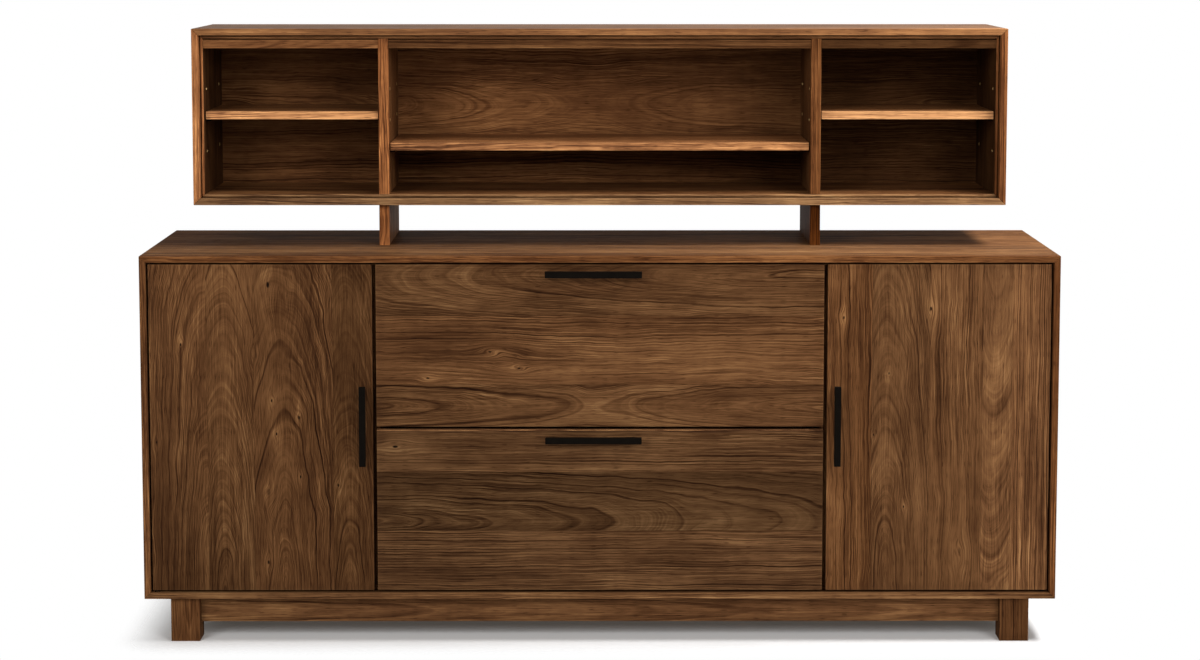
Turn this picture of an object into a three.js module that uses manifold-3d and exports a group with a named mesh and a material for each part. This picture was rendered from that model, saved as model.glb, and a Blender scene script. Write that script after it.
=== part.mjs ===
// Office credenza: two cupboards and two file drawers in a mitred walnut case on a low base,
// with an open shelf unit raised over its back on two uprights.
// Millimetres, +Z up, front facing -Y, origin on the floor under the middle of the bounding box.

import * as THREE from 'three';
import { mergeVertices } from 'three/addons/utils/BufferGeometryUtils.js';
import Module from 'manifold-3d';

const wasm = await Module();
wasm.setup();

// Driving dimensions: the case and its base
const CASE_WIDTH = 1828.8;
const CASE_DEPTH = 508;
const CASE_HEIGHT = 692;
const BASE_HEIGHT = 90;
const LEG_WIDTH = 58;
const LEG_INSET_SIDE = 50.8;
const LEG_INSET_FRONT = 14;
const APRON_SETBACK = 20;
const APRON_CLEARANCE = 36;

// Driving dimensions: the hutch
const HUTCH_WIDTH = 1661;
const HUTCH_DEPTH = 322;
const HUTCH_HEIGHT = 360;
const HUTCH_LIFT = 84.5;
const HUTCH_RABBET = 20;
const DIVIDER_CENTRE = 442.2;
const UPRIGHT_BACK_INSET = 16;
const SIDE_SHELF_RISE = 153;
const CENTRE_SHELF_RISE = 89;
const SHELF_SETBACK = 34;
const RAIL_DROP = 20;
const RAIL_GAP = 2.6;
const RAIL_THICKNESS = 16;
const RAIL_SETBACK = 24;

// Driving dimensions: boards and joinery
const BOARD = 20.6;
const CASE_LIP = 12.5;
const HUTCH_LIP = 13.5;
const QUIRK_WIDTH = 2.2;
const QUIRK_DEPTH = 8;
const MITRE_GAP = 0.15;
const SHELF_THICKNESS = 16;
const SHELF_END_GAP = 2.2;
const SHELF_BACK_GAP = 4;
const CUPBOARD_SHELF_SETBACK = 20;
const BACK_THICKNESS = 6.4;
const BACK_INSET = 9.5;
const GROOVE_DEPTH = 6;
const GROOVE_PLAY = 0.3;

// Driving dimensions: doors and drawers
const FRONT_RECESS = 6;
const REVEAL = 4.2;
const DRAWER_GAP = 6.4;
const DRAWER_HALF_WIDTH = 446;
const DOOR_GAP = 7.4;
const PARTITION_COVER = 7.3;
const CLOSING_GAP = 3;
const PIVOT_INSET = 7;
const PIN_RADIUS = 3;
const PIN_COLLAR_RADIUS = 5;
const PIN_PLAY = 0.3;
const PIN_IN_CASE = 8;
const PIN_IN_DOOR = 10;
const PIN_SIDES = 24;

// Driving dimensions: drawer boxes, slides and pulls
const BOX_DEPTH = 450;
const BOX_HEIGHT = 254;
const BOX_RISE = 22.5;
const BOX_WALL = 15.9;
const BOX_BOTTOM = 6.4;
const BOX_BOTTOM_RISE = 12;
const FRAME_INSET = 2;
const FRAME_WIDTH = 18;
const FRAME_THICKNESS = 4;
const SLIDE_SPACE = 13;
const SLIDE_WALL = 1.2;
const SLIDE_LENGTH = 440;
const SLIDE_START = 8;
const PULL_PROJECTION = 30;
const PULL_DEPTH = 11;
const PULL_HEIGHT = 12.7;
const PULL_CHAMFER = 1.5;
const PULL_OVERHANG = 32;
const PULL_POST = 7;
const PULL_POST_TENON = 4;
const DRAWER_PULL_LENGTH = 192;
const DRAWER_PULL_DROP = 18;
const DRAWER_PULL_SHIFT = -13;
const DOOR_PULL_LENGTH = 160;
const DOOR_PULL_INSET = 19.2;
const DOOR_PULL_RISE = 7;

// Each slide member as [web face, flange tips, height], with the first two measured from the
// partition towards the drawer.
const SLIDE_MEMBERS = {
  cabinet: [0, 9, 46],
  middle: [2.2, 11, 41.4],
  drawer: [SLIDE_SPACE, 4.6, 36.8],
};

// Places worked out from the driving dimensions
const CASE_FRONT = (PULL_PROJECTION - FRONT_RECESS - CASE_DEPTH) / 2;
const CASE_BACK = CASE_FRONT + CASE_DEPTH;
const CASE_BOTTOM = BASE_HEIGHT;
const CASE_TOP = CASE_BOTTOM + CASE_HEIGHT;
const CASE_FLOOR = CASE_BOTTOM + BOARD;
const CASE_CEILING = CASE_TOP - BOARD;
const CASE_INSIDE = CASE_WIDTH / 2 - BOARD;
const FRONT_FACE = CASE_FRONT + FRONT_RECESS;
const FRONT_REAR = FRONT_FACE + BOARD;
const CASE_RABBET = FRONT_RECESS + BOARD + CLOSING_GAP;
const PARTITION_FRONT = CASE_FRONT + CASE_RABBET;
const BACK_FACE = CASE_BACK - BACK_INSET - GROOVE_PLAY - BACK_THICKNESS;
const BOARD_REAR = BACK_FACE - GROOVE_PLAY;
const OPENING_BOTTOM = CASE_BOTTOM + CASE_LIP + REVEAL;
const OPENING_TOP = CASE_TOP - CASE_LIP - REVEAL;
const DRAWER_HEIGHT = (OPENING_TOP - OPENING_BOTTOM - DRAWER_GAP) / 2;
const DOOR_INNER = DRAWER_HALF_WIDTH + DOOR_GAP;
const DOOR_OUTER = CASE_WIDTH / 2 - CASE_LIP - REVEAL;
const PARTITION_OUTER = DOOR_INNER + PARTITION_COVER;
const PARTITION_INNER = PARTITION_OUTER - BOARD;
const BOX_HALF_WIDTH = PARTITION_INNER - SLIDE_SPACE;
const PIVOT_X = DOOR_OUTER - PIVOT_INSET;
const PIVOT_Y = FRONT_FACE + PIVOT_INSET;
const HUTCH_FRONT = CASE_BACK - HUTCH_DEPTH;
const HUTCH_BOTTOM = CASE_TOP + HUTCH_LIFT;
const HUTCH_TOP = HUTCH_BOTTOM + HUTCH_HEIGHT;
const HUTCH_FLOOR = HUTCH_BOTTOM + BOARD;
const HUTCH_CEILING = HUTCH_TOP - BOARD;
const HUTCH_INSIDE = HUTCH_WIDTH / 2 - BOARD;
const DIVIDER_INNER = DIVIDER_CENTRE - BOARD / 2;
const DIVIDER_OUTER = DIVIDER_CENTRE + BOARD / 2;

// Finishes
const WALNUT = { color: 0x6b452b, roughness: 0.5, metalness: 0 };
const DRAWER_WOOD = { color: 0xc9a778, roughness: 0.55, metalness: 0 };
const BLACK_METAL = { color: 0x17181b, roughness: 0.45, metalness: 0.6 };
const STEEL = { color: 0xb4b7bb, roughness: 0.35, metalness: 1 };

const SIDES = [['left', -1], ['right', 1]];

const credenza = new THREE.Group();

// Makers shared by all the sub-parts

function addGroup(parent, x = 0, y = 0, z = 0) {
  const group = new THREE.Group();
  group.position.set(x, y, z);
  parent.add(group);
  return group;
}

function addPart(parent, name, geometry, finish) {
  const mesh = new THREE.Mesh(geometry, new THREE.MeshStandardMaterial(finish));
  mesh.name = name;
  parent.add(mesh);
  return mesh;
}

// A board between two corners, given as spans along x, y and z.
function addBoard(parent, name, spans, finish = WALNUT) {
  const sizes = spans.map(([low, high]) => high - low);
  const centre = spans.map(([low, high]) => (low + high) / 2);
  const mesh = addPart(parent, name, new THREE.BoxGeometry(...sizes), finish);
  mesh.position.set(...centre);
  return mesh;
}

function boxGeometry(spans) {
  const sizes = spans.map(([low, high]) => high - low);
  const centre = spans.map(([low, high]) => (low + high) / 2);
  return new THREE.BoxGeometry(...sizes).translate(...centre);
}

// The span from inner to outer, on the left (side -1) or the right (side 1) of the middle.
function sideSpan(side, inner, outer) {
  return side > 0 ? [inner, outer] : [-outer, -inner];
}

function shapeOf(points) {
  return new THREE.Shape(points.map(([x, y]) => new THREE.Vector2(x, y)));
}

// Turns every triangle the other way round if the surface encloses a negative volume.
function faceOut(geometry) {
  const flat = geometry.index ? geometry.toNonIndexed() : geometry;
  const points = flat.attributes.position;
  const [a, b, c] = [new THREE.Vector3(), new THREE.Vector3(), new THREE.Vector3()];
  let volume = 0;
  for (let i = 0; i < points.count; i += 3) {
    a.fromBufferAttribute(points, i);
    b.fromBufferAttribute(points, i + 1);
    c.fromBufferAttribute(points, i + 2);
    volume += a.dot(b.cross(c));
  }
  if (volume < 0) {
    for (let i = 0; i < points.count; i += 3) {
      b.fromBufferAttribute(points, i + 1);
      c.fromBufferAttribute(points, i + 2);
      points.setXYZ(i + 1, c.x, c.y, c.z);
      points.setXYZ(i + 2, b.x, b.y, b.z);
    }
  }
  flat.computeVertexNormals();
  return flat;
}

function toSolid(geometry) {
  const bare = geometry.clone();
  bare.deleteAttribute('normal');
  bare.deleteAttribute('uv');
  const merged = mergeVertices(bare);
  return new wasm.Manifold(new wasm.Mesh({
    numProp: 3,
    vertProperties: Float32Array.from(merged.attributes.position.array),
    triVerts: Uint32Array.from(merged.index.array),
  }));
}

function toGeometry(solid) {
  const mesh = solid.getMesh();
  const result = new THREE.BufferGeometry();
  result.setAttribute('position', new THREE.BufferAttribute(mesh.vertProperties, 3));
  result.setIndex(new THREE.BufferAttribute(mesh.triVerts, 1));
  result.computeVertexNormals();
  return result;
}

function cutAway(geometry, tools) {
  let solid = toSolid(geometry);
  for (const tool of tools) {
    solid = solid.subtract(toSolid(tool));
  }
  return toGeometry(solid);
}

function joinTo(geometry, pieces) {
  let solid = toSolid(geometry);
  for (const piece of pieces) {
    solid = solid.add(toSolid(piece));
  }
  return toGeometry(solid);
}

// A vertical bore for a pivot pin, between two heights.
function boreGeometry(x, y, low, high) {
  const radius = PIN_RADIUS + PIN_PLAY;
  const bore = new THREE.CylinderGeometry(radius, radius, high - low, PIN_SIDES);
  return bore.rotateX(Math.PI / 2).translate(x, y, (low + high) / 2);
}

// Frames with mitred corners

// Section of a frame board: depth from front to back, and inset from its outer face.
// The inner front edge is rabbeted back to a thin lip, and the back panel's groove is near the rear.
// A quirk is a dark line: a narrow slot sunk into the rabbet's corner, beside the lip.
function frameSection(front, back, rabbet, lip, quirk) {
  const grooveRear = back - BACK_INSET;
  const grooveFront = grooveRear - BACK_THICKNESS - 2 * GROOVE_PLAY;
  const plainCorner = [[front + rabbet, lip]];
  const quirkedCorner = [
    [front + rabbet, lip + QUIRK_WIDTH],
    [front + rabbet + QUIRK_DEPTH, lip + QUIRK_WIDTH],
    [front + rabbet + QUIRK_DEPTH, lip],
  ];
  return shapeOf([
    [front, 0],
    [back, 0],
    [back, BOARD],
    [grooveRear, BOARD],
    [grooveRear, BOARD - GROOVE_DEPTH],
    [grooveFront, BOARD - GROOVE_DEPTH],
    [grooveFront, BOARD],
    [front + rabbet, BOARD],
    ...(quirk ? quirkedCorner : plainCorner),
    [front, lip],
  ]);
}

// A frame board whose ends are cut at 45 degrees, so that it grows shorter towards its inner face.
function mitredBoard(section, halfLength, place) {
  const geometry = new THREE.ExtrudeGeometry(section, { depth: 1, bevelEnabled: false });
  const points = geometry.attributes.position;
  for (let i = 0; i < points.count; i += 1) {
    const depth = points.getX(i);
    const inset = points.getY(i);
    const end = points.getZ(i) > 0.5 ? 1 : -1;
    points.setXYZ(i, ...place(end * (halfLength - inset - MITRE_GAP), depth, inset));
  }
  return faceOut(geometry);
}

// The four boards of a frame, by name.
function frameGeometries(width, [bottom, top], section) {
  const middle = (bottom + top) / 2;
  const half = width / 2;
  const halfHeight = (top - bottom) / 2;
  const atTop = (along, depth, inset) => [along, depth, top - inset];
  const atBottom = (along, depth, inset) => [along, depth, bottom + inset];
  const atLeft = (along, depth, inset) => [inset - half, depth, middle + along];
  const atRight = (along, depth, inset) => [half - inset, depth, middle + along];
  return {
    top: mitredBoard(section, half, atTop),
    bottom: mitredBoard(section, half, atBottom),
    left_side: mitredBoard(section, halfHeight, atLeft),
    right_side: mitredBoard(section, halfHeight, atRight),
  };
}

function addBackPanel(parent, name, halfInside, floor, ceiling) {
  const tongue = GROOVE_DEPTH - GROOVE_PLAY;
  addBoard(parent, name, [
    [-halfInside - tongue, halfInside + tongue],
    [BACK_FACE, BACK_FACE + BACK_THICKNESS],
    [floor - tongue, ceiling + tongue],
  ]);
}

// The base

function addBase() {
  const base = addGroup(credenza);
  const legOuter = CASE_WIDTH / 2 - LEG_INSET_SIDE;
  const legInner = legOuter - LEG_WIDTH;
  const legFront = CASE_FRONT + LEG_INSET_FRONT;
  const legBack = CASE_BACK - LEG_INSET_FRONT;
  const apronHeight = [APRON_CLEARANCE, BASE_HEIGHT];
  const apronFront = legFront + APRON_SETBACK;
  const apronBack = legBack - APRON_SETBACK;
  const railOuter = legOuter - APRON_SETBACK;
  for (const [word, side] of SIDES) {
    const across = sideSpan(side, legInner, legOuter);
    addBoard(base, `${word}_front_leg`, [across, [legFront, legFront + LEG_WIDTH], [0, BASE_HEIGHT]]);
    addBoard(base, `${word}_rear_leg`, [across, [legBack - LEG_WIDTH, legBack], [0, BASE_HEIGHT]]);
    addBoard(base, `${word}_base_rail`, [
      sideSpan(side, railOuter - BOARD, railOuter),
      [legFront + LEG_WIDTH, legBack - LEG_WIDTH],
      apronHeight,
    ]);
  }
  const between = [-legInner, legInner];
  addBoard(base, 'front_apron', [between, [apronFront, apronFront + BOARD], apronHeight]);
  addBoard(base, 'rear_apron', [between, [apronBack - BOARD, apronBack], apronHeight]);
}

// The case, with bores for the doors' pivot pins in the lips of its top and bottom

function addCase() {
  const group = addGroup(credenza);
  const section = frameSection(CASE_FRONT, CASE_BACK, CASE_RABBET, CASE_LIP, false);
  const boards = frameGeometries(CASE_WIDTH, [CASE_BOTTOM, CASE_TOP], section);
  const depth = PIN_IN_CASE + PIN_PLAY;
  const boreAt = (side, lip) => boreGeometry(side * PIVOT_X, PIVOT_Y, lip - depth, lip + depth);
  const boresAt = (lip) => SIDES.map(([, side]) => boreAt(side, lip));
  addPart(group, 'case_top', cutAway(boards.top, boresAt(CASE_TOP - CASE_LIP)), WALNUT);
  addPart(group, 'case_bottom', cutAway(boards.bottom, boresAt(CASE_BOTTOM + CASE_LIP)), WALNUT);
  addPart(group, 'case_left_side', boards.left_side, WALNUT);
  addPart(group, 'case_right_side', boards.right_side, WALNUT);
  addBackPanel(group, 'case_back', CASE_INSIDE, CASE_FLOOR, CASE_CEILING);
  const shelfMiddle = (CASE_FLOOR + CASE_CEILING) / 2;
  for (const [word, side] of SIDES) {
    addBoard(group, `${word}_partition`, [
      sideSpan(side, PARTITION_INNER, PARTITION_OUTER),
      [PARTITION_FRONT, BOARD_REAR],
      [CASE_FLOOR, CASE_CEILING],
    ]);
    addBoard(group, `${word}_cupboard_shelf`, [
      sideSpan(side, PARTITION_OUTER + SHELF_END_GAP, CASE_INSIDE - SHELF_END_GAP),
      [PARTITION_FRONT + CUPBOARD_SHELF_SETBACK, BACK_FACE - SHELF_BACK_GAP],
      [shelfMiddle - SHELF_THICKNESS / 2, shelfMiddle + SHELF_THICKNESS / 2],
    ]);
  }
}

// A bar pull: one bar held off the front by two slimmer posts, along x and standing out towards -y

function pullGeometry(length) {
  const half = length / 2;
  const barBack = PULL_PROJECTION - PULL_DEPTH;
  const outline = shapeOf([
    [-half, barBack],
    [-half, PULL_PROJECTION - PULL_CHAMFER],
    [-half + PULL_CHAMFER, PULL_PROJECTION],
    [half - PULL_CHAMFER, PULL_PROJECTION],
    [half, PULL_PROJECTION - PULL_CHAMFER],
    [half, barBack],
  ]);
  const bar = new THREE.ExtrudeGeometry(outline, { depth: PULL_HEIGHT, bevelEnabled: false });
  bar.translate(0, 0, -PULL_HEIGHT / 2).rotateX(Math.PI);
  const posts = SIDES.map(([, end]) => {
    const middle = end * (length - PULL_OVERHANG) / 2;
    return boxGeometry([
      [middle - PULL_POST / 2, middle + PULL_POST / 2],
      [-barBack - PULL_POST_TENON, 0],
      [-PULL_POST / 2, PULL_POST / 2],
    ]);
  });
  return joinTo(bar, posts);
}

// The doors, each in a group placed on its pivot axis at the case's front face

function pinGeometry(collar) {
  const reach = REVEAL + PIN_IN_DOOR - PIN_PLAY;
  const profile = [
    [0, -PIN_IN_CASE],
    [PIN_RADIUS, -PIN_IN_CASE],
    [PIN_RADIUS, 0],
    [PIN_COLLAR_RADIUS, 0],
    [PIN_COLLAR_RADIUS, collar],
    [PIN_RADIUS, collar],
    [PIN_RADIUS, reach],
    [0, reach],
  ];
  const points = profile.map(([radius, height]) => new THREE.Vector2(radius, height));
  return faceOut(new THREE.LatheGeometry(points, PIN_SIDES).rotateX(Math.PI / 2));
}

function addDoor(word, side) {
  const door = addGroup(credenza, side * PIVOT_X, PIVOT_Y, 0);
  const across = sideSpan(side, DOOR_INNER - PIVOT_X, DOOR_OUTER - PIVOT_X);
  const through = [FRONT_FACE - PIVOT_Y, FRONT_REAR - PIVOT_Y];
  const slab = boxGeometry([across, through, [OPENING_BOTTOM, OPENING_TOP]]);
  const bores = [
    boreGeometry(0, 0, OPENING_BOTTOM - PIN_IN_DOOR, OPENING_BOTTOM + PIN_IN_DOOR),
    boreGeometry(0, 0, OPENING_TOP - PIN_IN_DOOR, OPENING_TOP + PIN_IN_DOOR),
  ];
  addPart(door, `${word}_door`, cutAway(slab, bores), WALNUT);

  const pull = addPart(door, `${word}_door_pull`, pullGeometry(DOOR_PULL_LENGTH), BLACK_METAL);
  const middle = (OPENING_BOTTOM + OPENING_TOP) / 2;
  pull.rotation.y = Math.PI / 2;
  pull.position.set(
    side * (DOOR_INNER + DOOR_PULL_INSET - PIVOT_X),
    FRONT_FACE - PIVOT_Y,
    middle + DOOR_PULL_RISE,
  );

  const lower = addPart(door, `${word}_lower_pivot`, pinGeometry(REVEAL - PIN_PLAY), STEEL);
  lower.position.z = CASE_BOTTOM + CASE_LIP;
  const upper = addPart(door, `${word}_upper_pivot`, pinGeometry(REVEAL / 2), STEEL);
  upper.rotation.x = Math.PI;
  upper.position.z = CASE_TOP - CASE_LIP;
}

// A telescopic slide member: a channel running from front to back beside a drawer box

function slideGeometry(side, [web, tips, height]) {
  const webFace = side * (PARTITION_INNER - web);
  const tipFace = side * (PARTITION_INNER - tips);
  const webInner = webFace + Math.sign(tipFace - webFace) * SLIDE_WALL;
  const half = height / 2;
  const section = shapeOf([
    [webFace, -half],
    [tipFace, -half],
    [tipFace, SLIDE_WALL - half],
    [webInner, SLIDE_WALL - half],
    [webInner, half - SLIDE_WALL],
    [tipFace, half - SLIDE_WALL],
    [tipFace, half],
    [webFace, half],
  ]);
  const bar = new THREE.ExtrudeGeometry(section, { depth: SLIDE_LENGTH, bevelEnabled: false });
  return bar.rotateX(Math.PI / 2).translate(0, SLIDE_LENGTH, 0);
}

// A drawer, in a group placed behind its front at the front's lower edge

function addDrawer(word, bottom) {
  const drawer = addGroup(credenza, 0, FRONT_REAR, bottom);
  addBoard(drawer, `${word}_drawer_front`, [
    [-DRAWER_HALF_WIDTH, DRAWER_HALF_WIDTH],
    [-BOARD, 0],
    [0, DRAWER_HEIGHT],
  ]);

  const pull = addPart(drawer, `${word}_drawer_pull`, pullGeometry(DRAWER_PULL_LENGTH), BLACK_METAL);
  pull.position.set(DRAWER_PULL_SHIFT, -BOARD, DRAWER_HEIGHT - DRAWER_PULL_DROP);

  const inside = BOX_HALF_WIDTH - BOX_WALL;
  const boxTop = BOX_RISE + BOX_HEIGHT;
  const underside = BOX_RISE + BOX_BOTTOM_RISE;
  const cavityPlan = [[-inside, inside], [BOX_WALL, BOX_DEPTH - BOX_WALL]];
  const block = boxGeometry([[-BOX_HALF_WIDTH, BOX_HALF_WIDTH], [0, BOX_DEPTH], [BOX_RISE, boxTop]]);
  const cavity = boxGeometry([...cavityPlan, [underside + BOX_BOTTOM, boxTop + BOX_WALL]]);
  const recess = boxGeometry([...cavityPlan, [BOX_RISE - BOX_WALL, underside]]);
  addPart(drawer, `${word}_drawer_box`, cutAway(block, [cavity, recess]), DRAWER_WOOD);

  const outer = BOX_HALF_WIDTH - FRAME_INSET;
  const inner = outer - FRAME_WIDTH;
  const ringHeight = [boxTop, boxTop + FRAME_THICKNESS];
  const holeHeight = [boxTop - FRAME_THICKNESS, boxTop + 2 * FRAME_THICKNESS];
  const ringEdge = FRAME_INSET + FRAME_WIDTH;
  const plate = boxGeometry([[-outer, outer], [FRAME_INSET, BOX_DEPTH - FRAME_INSET], ringHeight]);
  const hole = boxGeometry([[-inner, inner], [ringEdge, BOX_DEPTH - ringEdge], holeHeight]);
  addPart(drawer, `${word}_file_frame`, cutAway(plate, [hole]), STEEL);

  const slideHeight = BOX_RISE + BOX_HEIGHT / 2;
  for (const [sideWord, side] of SIDES) {
    for (const [member, section] of Object.entries(SLIDE_MEMBERS)) {
      const name = `${word}_${sideWord}_${member}_slide`;
      const bar = addPart(drawer, name, slideGeometry(side, section), STEEL);
      bar.position.set(0, SLIDE_START, slideHeight);
    }
  }
}

// The hutch

function addHutch() {
  const hutch = addGroup(credenza);
  const section = frameSection(HUTCH_FRONT, CASE_BACK, HUTCH_RABBET, HUTCH_LIP, true);
  const boards = frameGeometries(HUTCH_WIDTH, [HUTCH_BOTTOM, HUTCH_TOP], section);
  for (const [word, geometry] of Object.entries(boards)) {
    addPart(hutch, `hutch_${word}`, geometry, WALNUT);
  }
  addBackPanel(hutch, 'hutch_back', HUTCH_INSIDE, HUTCH_FLOOR, HUTCH_CEILING);

  const uprightFront = HUTCH_FRONT + HUTCH_RABBET;
  const uprightDepth = [uprightFront, CASE_BACK - UPRIGHT_BACK_INSET];
  const shelfDepth = [HUTCH_FRONT + SHELF_SETBACK, BACK_FACE - SHELF_BACK_GAP];
  const railDepth = [HUTCH_FRONT + RAIL_SETBACK, HUTCH_FRONT + RAIL_SETBACK + RAIL_THICKNESS];
  const railHeight = [HUTCH_CEILING - RAIL_DROP, HUTCH_CEILING - RAIL_GAP];
  const shelfHeight = (rise) => [HUTCH_FLOOR + rise, HUTCH_FLOOR + rise + SHELF_THICKNESS];
  for (const [word, side] of SIDES) {
    const across = sideSpan(side, DIVIDER_INNER, DIVIDER_OUTER);
    addBoard(hutch, `${word}_upright`, [across, uprightDepth, [CASE_TOP, HUTCH_BOTTOM]]);
    addBoard(hutch, `${word}_divider`, [across, [uprightFront, BOARD_REAR], [HUTCH_FLOOR, HUTCH_CEILING]]);
    addBoard(hutch, `${word}_hutch_shelf`, [
      sideSpan(side, DIVIDER_OUTER + SHELF_END_GAP, HUTCH_INSIDE - SHELF_END_GAP),
      shelfDepth,
      shelfHeight(SIDE_SHELF_RISE),
    ]);
    const bay = sideSpan(side, DIVIDER_OUTER, HUTCH_INSIDE);
    addBoard(hutch, `${word}_top_rail`, [bay, railDepth, railHeight]);
  }
  const shelfHalf = DIVIDER_INNER - SHELF_END_GAP;
  const centreShelf = [[-shelfHalf, shelfHalf], shelfDepth, shelfHeight(CENTRE_SHELF_RISE)];
  addBoard(hutch, 'centre_hutch_shelf', centreShelf);
  addBoard(hutch, 'centre_top_rail', [[-DIVIDER_INNER, DIVIDER_INNER], railDepth, railHeight]);
}

addBase();
addCase();
for (const [word, side] of SIDES) {
  addDoor(word, side);
}
addDrawer('lower', OPENING_BOTTOM);
addDrawer('upper', OPENING_TOP - DRAWER_HEIGHT);
addHutch();

export default credenza;
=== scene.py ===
# The looks of a walnut office credenza: its camera, light, finishes and small fittings.
# Metres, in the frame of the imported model: +X to the right, -Y out of the front, +Z up.

import math
import random
from dataclasses import dataclass

import bmesh
import bpy
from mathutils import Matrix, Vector


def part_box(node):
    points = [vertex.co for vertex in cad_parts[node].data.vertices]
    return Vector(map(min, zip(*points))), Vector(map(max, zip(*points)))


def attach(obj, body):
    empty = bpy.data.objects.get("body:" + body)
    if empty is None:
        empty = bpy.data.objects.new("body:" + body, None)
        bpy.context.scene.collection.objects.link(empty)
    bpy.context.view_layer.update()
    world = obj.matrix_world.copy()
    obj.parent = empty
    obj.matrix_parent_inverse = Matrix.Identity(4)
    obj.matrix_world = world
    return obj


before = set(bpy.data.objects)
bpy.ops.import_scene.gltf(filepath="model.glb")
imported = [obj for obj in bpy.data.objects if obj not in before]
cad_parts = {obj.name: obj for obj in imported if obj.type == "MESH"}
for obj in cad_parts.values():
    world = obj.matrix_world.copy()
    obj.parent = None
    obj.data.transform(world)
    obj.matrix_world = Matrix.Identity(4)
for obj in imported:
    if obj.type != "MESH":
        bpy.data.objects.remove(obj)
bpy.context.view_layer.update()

# The camera, at the photograph's viewing angle
CAMERA_PLACE = (-0.0102, -5.7425, 1.4008)
CAMERA_PITCH_DOWN = 6.082
CAMERA_YAW = -0.108
CAMERA_LENS = 83.78
CAMERA_SHIFT_UP = -0.075

# The studio: a softbox on each side of the camera, a small one over the right end and a low one behind
AMBIENT = 0.15
KEY_ASIDE = 3.0
KEY_AHEAD = -5.9
KEY_RISE = 3.1
KEY_TARGET = (0, -0.24, 0.65)
KEY_SIZE = 2.6
KEY_POWERS = {-1: 205, 1: 185}
OVERHEAD_PLACE = (1.5, -0.45, 2.4)
OVERHEAD_TARGET = (0.5, -0.3, 0.78)
OVERHEAD_SIZE = (1.2, 0.5)
OVERHEAD_POWER = 72
REAR_PLACE = (-0.9, 4.4, 0.7)
REAR_TARGET = (0, 0.24, 0.7)
REAR_SIZE = (3.0, 1.0)
REAR_POWER = 120
FLOOR_HALF = 6.0
FLOOR_COLOUR = 0.9
FLOOR_GLOW = 0.045
FLOOR_GLOW_COLOUR = (1.0, 0.90, 0.78, 1.0)
FLOOR_FADE = (0.0, 0.12)
WHITE = (1.0, 1.0, 1.0, 1.0)

# Eased edges, as the radius left by a sanding block, a coating or a roll
WOOD_EDGE = 0.0009
PULL_EDGE = 0.0010
SHEET_EDGE = 0.0003

# Walnut's colours, from its dark late wood to its lightest streaks
WALNUT_COLOURS = [
    (0.00, (0.016, 0.0058, 0.0026)),
    (0.30, (0.050, 0.0185, 0.0070)),
    (0.50, (0.098, 0.0395, 0.0145)),
    (0.70, (0.170, 0.0740, 0.0270)),
    (1.00, (0.330, 0.1650, 0.0640)),
]
KNOT_COLOUR = (0.010, 0.005, 0.003, 1.0)
WALNUT_SHINE = 0.012
WALNUT_SHINE_TINT = (1.0, 0.78, 0.50, 1.0)
WALNUT_ROUGHNESS = 0.6
GLUE_LINE = 0.00025
FRONT_BAND = 0.022
INNER_FACE = 0.0012
# How far down from its top edge a board's painted highlight goes
TOP_HIGHLIGHT_DEPTH = 0.0012

# Pale wood of the drawer boxes, and its dovetailed corners
PALE_COLOURS = [
    (0.20, (0.36, 0.225, 0.110)),
    (0.50, (0.54, 0.370, 0.200)),
    (0.80, (0.66, 0.490, 0.290)),
]
BOX_WALL = 0.0159
DOVETAIL_PITCH = 0.0423
DOVETAIL_SHARE = 0.26
DOVETAIL_FLARE = 0.22

# Fittings
SHELF_PIN_RADIUS = 0.0025
PIN_COLUMN_FRONT = 0.062
PIN_COLUMN_BACK = 0.050
CUPBOARD_PIN_STEP = 0.032
PULL_POST_INSET = 0.016
BUMPER_RADIUS = 0.0028
BUMPER_THICKNESS = 0.0027
BUMPER_INSET = 0.035

AXES = "xyz"


# A small language for node trees


class Wire:
    """A value in a node tree, which takes part in sums as a number does."""

    def __init__(self, tree, socket):
        self.tree = tree
        self.socket = socket

    def __add__(self, other):
        return maths(self.tree, "ADD", self, other)

    def __radd__(self, other):
        return maths(self.tree, "ADD", other, self)

    def __sub__(self, other):
        return maths(self.tree, "SUBTRACT", self, other)

    def __rsub__(self, other):
        return maths(self.tree, "SUBTRACT", other, self)

    def __mul__(self, other):
        return maths(self.tree, "MULTIPLY", self, other)

    def __rmul__(self, other):
        return maths(self.tree, "MULTIPLY", other, self)

    def __truediv__(self, other):
        return maths(self.tree, "DIVIDE", self, other)

    def __pow__(self, other):
        return maths(self.tree, "POWER", self, other)

    def __abs__(self):
        return maths(self.tree, "ABSOLUTE", self)

    def __gt__(self, other):
        return maths(self.tree, "GREATER_THAN", self, other)

    def __lt__(self, other):
        return maths(self.tree, "LESS_THAN", self, other)


def add_node(tree, kind, **settings):
    node = tree.nodes.new(kind)
    for name, value in settings.items():
        setattr(node, name, value)
    return node


def feed(tree, socket, value):
    if isinstance(value, Wire):
        tree.links.new(value.socket, socket)
    else:
        socket.default_value = value


def maths(tree, operation, *values):
    node = add_node(tree, "ShaderNodeMath", operation=operation)
    for socket, value in zip(node.inputs, values):
        feed(tree, socket, value)
    return Wire(tree, node.outputs[0])


def least(first, second):
    return maths(first.tree, "MINIMUM", first, second)


def most(first, second):
    return maths(first.tree, "MAXIMUM", first, second)


def rise(value, low, high):
    """0 below low, 1 above high, and a smooth step between them."""
    tree = value.tree
    node = add_node(tree, "ShaderNodeMapRange", interpolation_type="SMOOTHSTEP")
    feed(tree, node.inputs["Value"], value)
    feed(tree, node.inputs["From Min"], low)
    feed(tree, node.inputs["From Max"], high)
    return Wire(tree, node.outputs["Result"])


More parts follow.
